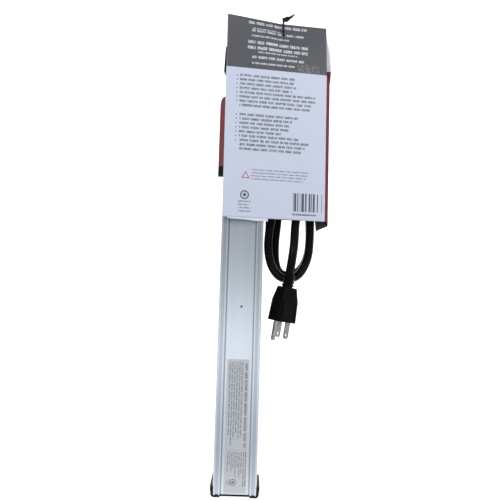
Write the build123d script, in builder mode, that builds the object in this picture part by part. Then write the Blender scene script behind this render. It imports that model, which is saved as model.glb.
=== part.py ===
from build123d import *
import math
import os

# A wall or bench power bar: an aluminium extrusion with six outlets, a lighted
# rocker and a reset breaker on its front, a recessed panel on its back, and its
# cord folded beside it in a card sleeve. Millimetres, +Z up along the bar. The
# front faces -Y and the two rear rails lie on Y = 0.

os.makedirs("parts", exist_ok=True)

# ---------------------------------------------------------------- bar sizes
BAR_WIDTH = 46.0
BAR_DEPTH = 38.0
BAR_LENGTH = 486.0
WALL = 1.6
RAIL_WIDTH = 7.5
RAIL_THICK = 6.4
RAIL_GROOVE = 3.5
GROOVE_DEPTH = 1.0
RAIL_LIP = 2.4
PANEL_RECESS = 3.0
PANEL_THICK = 1.6
PANEL_SLOT_DEPTH = 2.7
FIT = 0.15

HALF_LENGTH = BAR_LENGTH / 2
HALF_WIDTH = BAR_WIDTH / 2
INNER_X = HALF_WIDTH - WALL
RAIL_EDGE = HALF_WIDTH - RAIL_WIDTH

# screw ports of the extrusion and the screws that use them
PORT_X = 19.0
PORT_YS = (-34.0, -9.0)
PORT_RADIUS = 3.1
PORT_BORE = 1.5

# end caps
CAP_PLATE = 2.0
CAP_SKIRT = 2.2
CAP_ROUND = 3.6
TOP_CAP_FLARE = 2.0
BOTTOM_CAP_FLARE = 4.0
TOP_SKIRT = ((5, 31.0), (-60, 10.0))
BOTTOM_SKIRT = ((5, 8.5), (-60, 8.5))

# outlets, NEMA 5-15R
OUTLET_HEIGHTS = [-208.0 + 58.0 * step for step in range(6)]
OUTLET_FLANGE = (37.0, 27.0)
OUTLET_BODY = (31.0, 24.0)
OUTLET_DEPTH = 20.0
FLANGE_THICK = 1.5
BLADE_GAP = 12.7
GROUND_DROP = 11.89
SLOT_RISE = 4.5
GROUND_BORE = 2.65
WEB = 2.5

# switch, breaker and cord entry, up the bar
SWITCH_HEIGHT = 203.0
SWITCH_OPENING = (11.2, 18.2)
ROCKER_TILT = 10.0
BREAKER_HEIGHT = 177.0
BUTTON_TRAVEL = 3.0
BUTTON_ROOT = 4.0
ENTRY_HEIGHT = 226.0
ENTRY_DEPTH = -19.0

# surge board
BOARD_SIZE = (28.0, 50.0)
BOARD_HEIGHT = 133.0
BOARD_FACE = -14.0
BOARD_THICK = 1.6

# cord, SJT 14 AWG with three cores, 3 ft long
CORD_DIAMETER = 9.7
CORD_ROUTE = [
    (-47, -19, 226),
    (-61, -19, 226),
    (-74, -20, 216),
    (-81.5, -21.5, 197),
    (-82, -23, 160),
    (-80, -24, 110),
    (-76, -24, 67),
    (-76.5, -24, 30),
    (-74.5, -24, 6),
    (-63.5, -24, -14),
    (-45.5, -24, -16.5),
    (-34, -24, -4.5),
    (-29, -24, 15),
    (-29.5, -24, 36),
    (-33.5, -23.5, 57),
    (-38, -23.5, 77),
    (-49, -26, 92),
    (-65, -32, 88),
    (-74.5, -34.5, 71),
    (-77, -34.5, 48),
    (-77.5, -34.5, 27),
    (-74.5, -34.5, 6),
    (-62.5, -34.5, -10.5),
    (-45.5, -34.5, -12),
    (-38, -34.5, 0),
    (-37, -34.5, 26),
    (-40.5, -35, 56),
    (-40, -35.5, 98),
    (-37, -35, 139),
    (-40, -34, 165),
    (-52, -27.5, 177),
    (-66, -19, 169),
    (-71.5, -14.5, 148),
    (-70, -14, 114),
    (-63, -14.5, 76),
    (-58.5, -14, 47),
    (-58, -13, 24),
    (-55.57, -10, 5.22),
    (-53.2, -10, -10.6),
]

# plug, NEMA 5-15P, turned about its own axis
PLUG_AXIS = (0.148, 0, -0.989)
PLUG_TURN = 40.0
NECK_LENGTH = 15.0
PLUG_LENGTH = 52.7
PLUG_SECTIONS = [(NECK_LENGTH, (17.2, 15.8)), (30.0, (22.6, 20.6)), (PLUG_LENGTH, (24.2, 21.8))]
BLADE_SIZE = (6.35, 1.5)
BLADE_REACH = 17.8
PIN_RADIUS = 2.38
PIN_REACH = 21.4
PIN_SHANK_RADIUS = 1.9
PIN_SHANK_SHOWS = 0.6
ROOT_DEPTH = 9.0
BLADE_OFFSET = -3.6

# card sleeve
CARD_THICK = 0.6
CARD_TOP = 217.0
BACK_LEFT = (22.5, 8.5)
BACK_RIGHT = (-91.0, -9.0)
FRONT_RIGHT = (-99.0, -43.0)
FRONT_LEFT = (32.0, -43.0)
BACK_BOTTOM = 48.5
BAND_TOP = 188.5
HEADER_TOP = 278.0
HEADER_CREST = (-36.0, -10.0)
HEADER_CORNER = (-91.0, -17.5)
HANG_HOLE = (-40.1, 264.2)
HANG_HOLE_RADIUS = 3.5

FRONT = Plane.XZ.offset(BAR_DEPTH)
INSIDE_FRONT = Plane.XZ.offset(BAR_DEPTH - WALL)


def save(part, node):
    """Labels a finished piece and writes its STEP file."""
    part.label = node
    export_step(part, f"parts/{node}.step")


def box_between(low, high, mode=Mode.ADD):
    """Adds or cuts a box given by its two opposite corners."""
    size = [b - a for a, b in zip(low, high)]
    middle = [(a + b) / 2 for a, b in zip(low, high)]
    with Locations(tuple(middle)):
        Box(*size, mode=mode)


def card_back(x):
    """Depth of the sleeve's back sheet at x."""
    slope = (BACK_RIGHT[1] - BACK_LEFT[1]) / (BACK_RIGHT[0] - BACK_LEFT[0])
    return BACK_LEFT[1] + slope * (x - BACK_LEFT[0])


# ------------------------------------------------- housing and rear panel
with BuildPart() as housing:
    with BuildSketch(Plane.XY.offset(-HALF_LENGTH)):
        with Locations((0, -BAR_DEPTH / 2)):
            RectangleRounded(BAR_WIDTH, BAR_DEPTH, 1.2)
            Rectangle(BAR_WIDTH - 2 * WALL, BAR_DEPTH - 2 * WALL, mode=Mode.SUBTRACT)
        with Locations((0, -RAIL_THICK / 2)):
            Rectangle(2 * RAIL_EDGE, RAIL_THICK + 4, mode=Mode.SUBTRACT)
        rail_middle = (RAIL_EDGE + INNER_X) / 2
        with Locations((rail_middle, -RAIL_THICK / 2), (-rail_middle, -RAIL_THICK / 2)):
            Rectangle(INNER_X - RAIL_EDGE, RAIL_THICK)
        slot_y = -PANEL_RECESS - PANEL_THICK / 2
        slot_x = RAIL_EDGE + PANEL_SLOT_DEPTH / 2
        with Locations((slot_x, slot_y), (-slot_x, slot_y)):
            Rectangle(PANEL_SLOT_DEPTH, PANEL_THICK + 2 * FIT, mode=Mode.SUBTRACT)
        groove_x = HALF_WIDTH - RAIL_LIP - RAIL_GROOVE / 2
        with Locations((groove_x, 0), (-groove_x, 0)):
            Rectangle(RAIL_GROOVE, 2 * GROOVE_DEPTH, mode=Mode.SUBTRACT)
        ports = [(side * PORT_X, y) for side in (-1, 1) for y in PORT_YS]
        with Locations(*ports):
            Circle(PORT_RADIUS)
            Circle(PORT_BORE, mode=Mode.SUBTRACT)
    extrude(amount=BAR_LENGTH)
    with BuildSketch(FRONT):
        with Locations(*[(0, height) for height in OUTLET_HEIGHTS]):
            Rectangle(OUTLET_BODY[0] + 2 * FIT, OUTLET_BODY[1] + 2 * FIT)
        with Locations((0, SWITCH_HEIGHT)):
            Rectangle(13.3, 20.3)
        with Locations((0, BREAKER_HEIGHT)):
            Circle(4.9)
    extrude(amount=-WALL, mode=Mode.SUBTRACT)
    with BuildSketch(Plane.YZ.offset(-HALF_WIDTH)):
        with Locations((ENTRY_DEPTH, ENTRY_HEIGHT)):
            Circle(6.0)
    extrude(amount=WALL, mode=Mode.SUBTRACT)
    with BuildSketch(Plane.YZ.offset(INNER_X)):
        with Locations((-21, 190)):
            Circle(1.75)
    extrude(amount=WALL, mode=Mode.SUBTRACT)
save(housing.part, "housing_extrusion")

with BuildPart() as rear_panel:
    panel_half = RAIL_EDGE + PANEL_SLOT_DEPTH - 0.3
    panel_back = -PANEL_RECESS - PANEL_THICK
    box_between((-panel_half, panel_back, -HALF_LENGTH), (panel_half, -PANEL_RECESS, HALF_LENGTH))
save(rear_panel.part, "rear_panel")

with BuildPart() as rating_label:
    box_between((-11.5, -PANEL_RECESS, -242), (11.9, -PANEL_RECESS + 0.12, -104))
save(rating_label.part, "rating_label")


# -------------------------------------------------------------- end caps
def end_cap(upward, skirt, flare):
    """A moulded cap: a plate on the cut end and a flared skirt with a shaped edge."""
    reach = max(length for _, length in skirt)
    end = upward * HALF_LENGTH
    plate = Plane.XY.offset(end + upward * CAP_PLATE)
    outer_width = BAR_WIDTH + 2 * CAP_SKIRT
    with BuildPart() as cap:
        with BuildSketch(plate):
            with Locations((0, -BAR_DEPTH / 2)):
                RectangleRounded(outer_width, BAR_DEPTH + 2 * CAP_SKIRT, 3)
        extrude(amount=-upward * (reach + CAP_PLATE), taper=-flare)
        box_between((-40, 0.3, -300), (40, 10, 300), Mode.SUBTRACT)
        inner = 2 * (HALF_WIDTH + FIT)
        with BuildSketch(Plane.XY.offset(end)):
            with Locations((0, (5 - BAR_DEPTH - FIT) / 2)):
                Rectangle(inner, BAR_DEPTH + FIT + 5)
        extrude(amount=-upward * (reach + 1), taper=-max(flare - 1.4, 0), mode=Mode.SUBTRACT)
        box_between((-RAIL_EDGE, -PANEL_RECESS, -300), (RAIL_EDGE, 5, 300), Mode.SUBTRACT)
        edge = [(y, end - upward * length) for y, length in skirt]
        beyond = end - upward * (reach + 30)
        with BuildSketch(Plane.YZ.offset(-40)):
            Polygon(*edge, (-60, beyond), (5, beyond), align=None)
        extrude(amount=80, mode=Mode.SUBTRACT)
        with BuildSketch(plate):
            with Locations(*ports):
                Circle(1.8)
        extrude(amount=-upward * CAP_PLATE, mode=Mode.SUBTRACT)
        with BuildSketch(plate):
            with Locations(*ports):
                Circle(3.3)
        extrude(amount=-upward * 1.5, taper=45, mode=Mode.SUBTRACT)
        plate_rim = cap.faces().filter_by(Axis.Z).sort_by(Axis.Z)[-1 if upward > 0 else 0]
        chamfer(plate_rim.outer_wire().edges().filter_by(Axis.X).sort_by(Axis.Y)[0], 0.6)
        with BuildSketch(Plane.XZ):
            RectangleRounded(outer_width, 2 * (HALF_LENGTH + CAP_PLATE), CAP_ROUND)
            Rectangle(2 * outer_width, 2 * (HALF_LENGTH - 4))
        extrude(amount=80, both=True, mode=Mode.INTERSECT)
    return cap.part


top_cap = end_cap(1, TOP_SKIRT, TOP_CAP_FLARE)
with BuildPart() as end_cap_top:
    add(top_cap)
    with BuildSketch(Plane.YZ.offset(-HALF_WIDTH - CAP_SKIRT - 4)):
        with Locations((ENTRY_DEPTH, ENTRY_HEIGHT)):
            Circle(6.0)
    extrude(amount=8, mode=Mode.SUBTRACT)
    box_between((-30, -50, 120), (30, -BAR_DEPTH + 0.1, 236), Mode.SUBTRACT)
save(end_cap_top.part, "end_cap_top")
save(end_cap(-1, BOTTOM_SKIRT, BOTTOM_CAP_FLARE), "end_cap_bottom")

with BuildPart() as end_cap_screws:
    for upward in (-1, 1):
        outer = upward * (HALF_LENGTH + CAP_PLATE)
        for port in ports:
            with BuildSketch(Plane.XY.offset(outer - upward * 0.1)):
                with Locations(port):
                    Circle(3.15)
            extrude(amount=-upward * 1.45, taper=45)
            with BuildSketch(Plane.XY.offset(outer - upward * 1.5)):
                with Locations(port):
                    Circle(1.45)
            extrude(amount=-upward * 12)
            with BuildSketch(Plane.XY.offset(outer - upward * 0.1)):
                with Locations(port):
                    Rectangle(3.6, 0.7)
                    Rectangle(0.7, 3.6)
            extrude(amount=-upward * 0.9, mode=Mode.SUBTRACT)
save(end_cap_screws.part, "end_cap_screws")

# --------------------------------------------------------------- outlets
hot_x = BLADE_GAP / 2
for index, height in enumerate(OUTLET_HEIGHTS, 1):
    with BuildPart() as outlet:
        blades_z = height + SLOT_RISE
        ground_z = blades_z - GROUND_DROP
        with BuildSketch(FRONT):
            with Locations((0, height)):
                RectangleRounded(*OUTLET_FLANGE, 2)
        extrude(amount=FLANGE_THICK)
        chamfer(outlet.faces().sort_by(Axis.Y)[0].edges(), 0.5)
        with BuildSketch(FRONT):
            with Locations((0, height)):
                Rectangle(*OUTLET_BODY)
        extrude(amount=-OUTLET_DEPTH)
        with BuildSketch(FRONT.offset(FLANGE_THICK)):
            with Locations((hot_x, blades_z)):
                Rectangle(2.2, 7.4)
            with Locations((-hot_x, blades_z)):
                Rectangle(2.2, 8.8)
            with Locations((0, ground_z)):
                Circle(GROUND_BORE)
        extrude(amount=-OUTLET_DEPTH - FLANGE_THICK, mode=Mode.SUBTRACT)
        with BuildSketch(FRONT.offset(-WEB)):
            with Locations((hot_x, blades_z), (-hot_x, blades_z)):
                Rectangle(5.4, 9.6)
            with Locations((0, ground_z)):
                Circle(3.6)
        extrude(amount=WEB - OUTLET_DEPTH, mode=Mode.SUBTRACT)
    save(outlet.part, f"outlet_{index}")

# ------------------------------------------------------------------ buses
BUS_BACK = -BAR_DEPTH + OUTLET_DEPTH
BUS_THICK = 0.8
BUS_LOW = OUTLET_HEIGHTS[0] - 12
BUS_HIGH = OUTLET_HEIGHTS[-1] + 17
CLIP_FRONT = -33.0


def blade_bus(x):
    """A brass strip behind the outlets with two spring leaves in each blade pocket."""
    with BuildPart() as bus:
        box_between((x - 2.5, BUS_BACK, BUS_LOW), (x + 2.5, BUS_BACK + BUS_THICK, BUS_HIGH))
        for height in OUTLET_HEIGHTS:
            low = height + SLOT_RISE - 3.5
            for leaf in (x - 1.3, x + 0.8):
                box_between((leaf, CLIP_FRONT, low), (leaf + 0.5, BUS_BACK, low + 7))
    return bus.part


save(blade_bus(hot_x), "line_bus")
save(blade_bus(-hot_x), "neutral_bus")

GROUND_BUS_FACE = -14.6
with BuildPart() as ground_bus:
    box_between((-1.5, GROUND_BUS_FACE, BUS_LOW), (1.5, GROUND_BUS_FACE + BUS_THICK, BUS_HIGH))
    for height in OUTLET_HEIGHTS:
        centre = (0, height + SLOT_RISE - GROUND_DROP)
        with BuildSketch(Plane.XZ.offset(-GROUND_BUS_FACE)):
            with Locations(centre):
                Circle(3.1)
                Circle(2.45, mode=Mode.SUBTRACT)
        extrude(amount=GROUND_BUS_FACE - CLIP_FRONT)
        slit = centre[1]
        box_between((2, CLIP_FRONT - 1, slit - 0.5), (4, GROUND_BUS_FACE - 2, slit + 0.5), Mode.SUBTRACT)
save(ground_bus.part, "ground_bus")

with BuildPart() as ground_screw:
    with BuildSketch(Plane.YZ.offset(INNER_X - 1.0)):
        with Locations((-21, 190)):
            Circle(3.2)
    extrude(amount=-2.0)
    with BuildSketch(Plane.YZ.offset(INNER_X - 1.0)):
        with Locations((-21, 190)):
            Circle(1.7)
    extrude(amount=1.0 + WALL)
save(ground_screw.part, "ground_screw")

# ----------------------------------------------------------------- switch
PIVOT_Y = -37.0
LEVER_Y = -29.5
with BuildPart() as switch_housing:
    with BuildSketch(FRONT):
        with Locations((0, SWITCH_HEIGHT)):
            RectangleRounded(15, 22, 1.5)
    extrude(amount=1.8)
    chamfer(switch_housing.faces().sort_by(Axis.Y)[0].edges(), 0.6)
    with BuildSketch(FRONT):
        with Locations((0, SWITCH_HEIGHT)):
            Rectangle(13, 20)
    extrude(amount=-16)
    with BuildSketch(FRONT.offset(1.8)):
        with Locations((0, SWITCH_HEIGHT)):
            Rectangle(*SWITCH_OPENING)
    extrude(amount=-16.6, mode=Mode.SUBTRACT)
    for pin_y in (PIVOT_Y, LEVER_Y):
        with BuildSketch(Plane.YZ.offset(-6.5)):
            with Locations((pin_y, SWITCH_HEIGHT)):
                Circle(1.05)
        extrude(amount=13, mode=Mode.SUBTRACT)
    with BuildSketch(FRONT.offset(-16)):
        with Locations(*[(0, SWITCH_HEIGHT + step) for step in (-6, 0, 6)]):
            Rectangle(4.9, 0.9)
    extrude(amount=3, mode=Mode.SUBTRACT)
save(switch_housing.part, "switch_housing")

# The rocker is drawn level and then tipped to its off side about the pivot.
pivot_axis = Axis((0, PIVOT_Y, SWITCH_HEIGHT), (1, 0, 0))
with BuildPart() as rocker_level:
    with BuildSketch(Plane.YZ.offset(-5.2)):
        with BuildLine():
            Polyline(
                (PIVOT_Y - 3.2, SWITCH_HEIGHT - 8.2),
                (PIVOT_Y - 2.0, SWITCH_HEIGHT),
                (PIVOT_Y - 3.2, SWITCH_HEIGHT + 8.2),
                (PIVOT_Y + 1.2, SWITCH_HEIGHT + 8.2),
                (PIVOT_Y + 3.0, SWITCH_HEIGHT + 3.0),
                (PIVOT_Y + 3.0, SWITCH_HEIGHT - 3.0),
                (PIVOT_Y + 1.2, SWITCH_HEIGHT - 8.2),
                close=True,
            )
        make_face()
    extrude(amount=10.4)
    with BuildSketch(Plane.YZ.offset(-5.2)):
        with Locations((PIVOT_Y, SWITCH_HEIGHT)):
            Circle(1.0)
    extrude(amount=10.4, mode=Mode.SUBTRACT)
    fillet(rocker_level.faces().sort_by(Axis.Y)[0].edges().filter_by(Axis.X), 0.4)
save(rocker_level.part.rotate(pivot_axis, ROCKER_TILT), "switch_rocker")

with BuildPart() as switch_pivot:
    with BuildSketch(Plane.YZ.offset(-6.4)):
        with Locations((PIVOT_Y, SWITCH_HEIGHT)):
            Circle(0.98)
    extrude(amount=12.8)
save(switch_pivot.part, "switch_pivot")

lever_axis = Axis((0, LEVER_Y, SWITCH_HEIGHT), (1, 0, 0))
with BuildPart() as lever_level:
    with BuildSketch(Plane.YZ.offset(-2.5)):
        with Locations((LEVER_Y, SWITCH_HEIGHT)):
            Rectangle(1.0, 13)
            Circle(1.6)
    extrude(amount=5)
    with BuildSketch(Plane.YZ.offset(-6.4)):
        with Locations((LEVER_Y, SWITCH_HEIGHT)):
            Circle(0.98)
    extrude(amount=12.8)
save(lever_level.part.rotate(lever_axis, -ROCKER_TILT), "switch_contact_lever")

with BuildPart() as switch_terminals:
    for step in (-6, 0, 6):
        z = SWITCH_HEIGHT + step
        box_between((-2.4, -27.4, z - 0.4), (2.4, -14.5, z + 0.4))
save(switch_terminals.part, "switch_terminals")

with BuildPart() as switch_lamp:
    with BuildSketch(Plane.YZ.offset(-3)):
        with Locations((LEVER_Y - 2.95, SWITCH_HEIGHT)):
            Circle(0.6)
    extrude(amount=6)
save(switch_lamp.part, "switch_lamp")

# ---------------------------------------------------------------- breaker
with BuildPart() as breaker_body:
    with BuildSketch(INSIDE_FRONT):
        with Locations((0, BREAKER_HEIGHT)):
            RectangleRounded(14, 17.5, 1)
    extrude(amount=-24)
    with BuildSketch(INSIDE_FRONT):
        with Locations((0, BREAKER_HEIGHT)):
            Circle(4.8)
    extrude(amount=5.6)
    with BuildSketch(INSIDE_FRONT.offset(5.6)):
        with Locations((0, BREAKER_HEIGHT)):
            Circle(3.5)
    extrude(amount=-(5.6 + BUTTON_ROOT + BUTTON_TRAVEL + 1), mode=Mode.SUBTRACT)
save(breaker_body.part, "breaker_body")

with BuildPart() as breaker_button:
    with BuildSketch(INSIDE_FRONT.offset(-BUTTON_ROOT)):
        with Locations((0, BREAKER_HEIGHT)):
            Circle(3.1)
    extrude(amount=13)
    fillet(breaker_button.faces().sort_by(Axis.Y)[0].edges(), 0.8)
save(breaker_button.part, "breaker_button")

with BuildPart() as breaker_nut:
    with BuildSketch(FRONT):
        with Locations((0, BREAKER_HEIGHT)):
            RegularPolygon(7.6, 6)
            Circle(4.85, mode=Mode.SUBTRACT)
    extrude(amount=2.4)
save(breaker_nut.part, "breaker_nut")

with BuildPart() as breaker_terminals:
    for side in (-3.6, 3.6):
        z = BREAKER_HEIGHT + side
        box_between((-3.15, -12.4, z - 0.4), (3.15, -7, z + 0.4))
save(breaker_terminals.part, "breaker_terminals")

# ------------------------------------------------------------ surge board
post_spots = [(x, BOARD_HEIGHT + z) for x in (-11, 11) for z in (-21.5, 21.5)]
with BuildPart() as surge_board:
    with BuildSketch(Plane.XZ.offset(-BOARD_FACE)):
        with Locations((0, BOARD_HEIGHT)):
            Rectangle(*BOARD_SIZE)
        with Locations(*post_spots):
            Circle(1.6, mode=Mode.SUBTRACT)
    extrude(amount=-BOARD_THICK)
save(surge_board.part, "surge_board")

with BuildPart() as board_standoffs:
    with BuildSketch(INSIDE_FRONT):
        with Locations(*post_spots):
            Circle(3)
    extrude(amount=-(BAR_DEPTH - WALL + BOARD_FACE))
    with BuildSketch(Plane.XZ.offset(-BOARD_FACE)):
        with Locations(*post_spots):
            Circle(1.5)
    extrude(amount=8, mode=Mode.SUBTRACT)
save(board_standoffs.part, "board_standoffs")

with BuildPart() as board_screws:
    board_back = Plane.XZ.offset(-BOARD_FACE - BOARD_THICK)
    with BuildSketch(board_back):
        with Locations(*post_spots):
            Circle(2.8)
    extrude(amount=-1.6)
    with BuildSketch(board_back):
        with Locations(*post_spots):
            Circle(1.45)
    extrude(amount=8)
save(board_screws.part, "board_screws")

with BuildPart() as varistors:
    for step in (-10.5, 0, 10.5):
        with BuildSketch(Plane.XY.offset(BOARD_HEIGHT + step - 2.2)):
            with Locations((0, BOARD_FACE - 9.5)):
                Circle(7)
        extrude(amount=4.4)
        for side in (-3.75, 3.75):
            z = BOARD_HEIGHT + step
            box_between((side - 0.4, BOARD_FACE - 5, z - 0.4), (side + 0.4, BOARD_FACE, z + 0.4))
save(varistors.part, "varistors")

with BuildPart() as thermal_fuse:
    with Locations((11, BOARD_FACE - 2, BOARD_HEIGHT)):
        Cylinder(2, 11)
save(thermal_fuse.part, "thermal_fuse")


# ---------------------------------------------------------- swept round rods
def rounded_radii(points, share=0.45):
    """The arc radius at each inner point: a share of the shorter run by half the turn."""
    radii = []
    for before, here, after in zip(points, points[1:], points[2:]):
        arriving = Vector(*here) - Vector(*before)
        leaving = Vector(*after) - Vector(*here)
        half_turn = math.radians(arriving.get_angle(leaving)) / 2
        shorter = min(arriving.length, leaving.length)
        radii.append(share * shorter / math.tan(half_turn))
    return radii


def round_rod(points, radius, bends=None):
    """A round rod along straight runs joined by tangent arcs."""
    radii = bends or rounded_radii(points)
    with BuildPart() as rod:
        with BuildLine() as path:
            FilletPolyline(*points, radius=radii)
        start = path.wires()[0]
        with BuildSketch(Plane(origin=start @ 0, z_dir=start % 0)):
            Circle(radius)
        sweep(path=start, transition=Transition.RIGHT)
    return rod.part, start.length


LEAD_RADIUS = 1.4
LINE_LEADS = [
    [(-16.6, -17, 229), (-12, -16.9, 229.1), (-11, -9, 216), (-10.6, -8.6, 198), (-5.5, -9.5, 185)],
    [(4.8, -8.8, 180), (8.2, -8.8, 184), (8.2, -10.5, 193), (3.4, -12.8, 197.5)],
    [(4.6, -12.4, 203), (13, -10.5, 200), (13.5, -8.4, 186), (13.3, -8.4, 140), (11.6, -8.6, 104),
     (6.35, -15.2, 97)],
]
NEUTRAL_LEAD = [
    (-16.6, -20.5, 222.5),
    (-13.2, -20.4, 222.3),
    (-13.4, -10, 208),
    (-13.6, -8.4, 160),
    (-12.2, -8.6, 104),
    (-6.35, -15.2, 97),
]
GROUND_LEADS = [
    [(-16.6, -22.5, 228.5), (-10, -22.4, 228.7), (8, -20, 226), (16.6, -18.6, 210), (16.6, -20, 195)],
    [(15.5, -21, 186.5), (14.8, -12, 172), (3, -8.3, 158), (1.2, -8.3, 118), (0, -12, 97.5)],
]
with BuildPart() as line_leads:
    for points in LINE_LEADS:
        add(round_rod(points, LEAD_RADIUS)[0])
save(line_leads.part, "line_leads")
save(round_rod(NEUTRAL_LEAD, LEAD_RADIUS)[0], "neutral_lead")
with BuildPart() as ground_leads:
    for points in GROUND_LEADS:
        add(round_rod(points, LEAD_RADIUS)[0])
save(ground_leads.part, "ground_leads")

# ---------------------------------------------------- strain relief and cord
relief_tip = CORD_ROUTE[0][0]
with BuildPart() as strain_relief:
    with BuildSketch(Plane.XZ.offset(-ENTRY_DEPTH)):
        with BuildLine():
            Polyline(
                (-17, ENTRY_HEIGHT),
                (-17, ENTRY_HEIGHT + 5.9),
                (-26.5, ENTRY_HEIGHT + 5.9),
                (-26.5, ENTRY_HEIGHT + 8),
                (-28.5, ENTRY_HEIGHT + 8),
                (-29.5, ENTRY_HEIGHT + 6.9),
                (relief_tip, ENTRY_HEIGHT + 5.3),
                (relief_tip, ENTRY_HEIGHT),
                close=True,
            )
        make_face()
    revolve(axis=Axis((0, ENTRY_DEPTH, ENTRY_HEIGHT), (1, 0, 0)))
    for step in range(4):
        x = -33 - 3.2 * step
        with BuildSketch(Plane.YZ.offset(x)):
            with Locations((ENTRY_DEPTH, ENTRY_HEIGHT)):
                Circle(8)
                Circle(5.1, mode=Mode.SUBTRACT)
        extrude(amount=-1.2, mode=Mode.SUBTRACT)
save(strain_relief.part, "strain_relief")

bend_radii = rounded_radii(CORD_ROUTE)
cord_part, cord_length = round_rod(CORD_ROUTE, CORD_DIAMETER / 2, bend_radii)
save(cord_part, "power_cord")
section = math.pi * CORD_DIAMETER**2 / 4
print("cord length", round(cord_length, 1), "bend radii", [round(r, 1) for r in bend_radii])
print("cord volume over section times length", round(cord_part.volume / (section * cord_length), 4))

# ------------------------------------------------------------------- plug
turn = math.radians(PLUG_TURN)
PLUG = Plane(origin=CORD_ROUTE[-1], x_dir=(math.cos(turn), math.sin(turn), 0.11), z_dir=PLUG_AXIS)
blade_top = PLUG_LENGTH - ROOT_DEPTH


def plug_blade(side):
    """One flat blade with a rounded tip and its hole; side is +1 or -1."""
    blade_length = ROOT_DEPTH + BLADE_REACH
    middle = blade_top + blade_length / 2
    face = Plane(
        origin=PLUG.from_local_coords(Vector(BLADE_OFFSET, side * BLADE_GAP / 2 - BLADE_SIZE[1] / 2, middle)),
        x_dir=PLUG.z_dir,
        z_dir=PLUG.y_dir,
    )
    with BuildPart() as blade:
        with BuildSketch(face):
            Rectangle(blade_length, BLADE_SIZE[0])
        extrude(amount=BLADE_SIZE[1])
        across = blade.edges().filter_by(Axis(face.origin, face.z_dir))
        tip = sorted(across, key=lambda edge: PLUG.to_local_coords(edge.center()).Z)[-2:]
        fillet(tip, 2.2)
        with BuildSketch(face):
            with Locations((blade_length / 2 - 4.2, 0)):
                Circle(1.5)
        extrude(amount=BLADE_SIZE[1], mode=Mode.SUBTRACT)
    return blade.part


with BuildPart() as ground_pin:
    with BuildSketch(PLUG.offset(blade_top)):
        with Locations((BLADE_OFFSET + GROUND_DROP, 0)):
            Circle(PIN_SHANK_RADIUS)
    extrude(amount=ROOT_DEPTH + PIN_SHANK_SHOWS)
    with BuildSketch(PLUG.offset(PLUG_LENGTH + PIN_SHANK_SHOWS)):
        with Locations((BLADE_OFFSET + GROUND_DROP, 0)):
            Circle(PIN_RADIUS)
    extrude(amount=PIN_REACH - PIN_SHANK_SHOWS)
    pin_end = sorted(ground_pin.faces(), key=lambda face: PLUG.to_local_coords(face.center()).Z)[-1]
    fillet(pin_end.edges(), 1.9)
line_blade = plug_blade(-1)
neutral_blade = plug_blade(1)
save(ground_pin.part, "plug_ground_pin")
save(line_blade, "plug_line_blade")
save(neutral_blade, "plug_neutral_blade")

with BuildPart() as plug_body:
    for distance, size in PLUG_SECTIONS:
        with BuildSketch(PLUG.offset(distance)):
            RectangleRounded(*size, 2.4)
    loft(ruled=True)
    with BuildSketch(PLUG):
        Circle(5.6)
    extrude(amount=NECK_LENGTH + 2)
    for step in range(4):
        with BuildSketch(PLUG.offset(1.6 + 3.4 * step)):
            Circle(6.7)
        extrude(amount=1.9)
    for side in (-1, 1):
        grip = Plane(
            origin=PLUG.from_local_coords(Vector(0, side * 10.0, 41)),
            x_dir=PLUG.z_dir,
            z_dir=PLUG.y_dir * side,
        )
        with BuildSketch(grip):
            RectangleRounded(18, 14, 2)
        extrude(amount=3, mode=Mode.SUBTRACT)
    add(ground_pin.part, mode=Mode.SUBTRACT)
    add(line_blade, mode=Mode.SUBTRACT)
    add(neutral_blade, mode=Mode.SUBTRACT)
save(plug_body.part, "plug_body")

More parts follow.
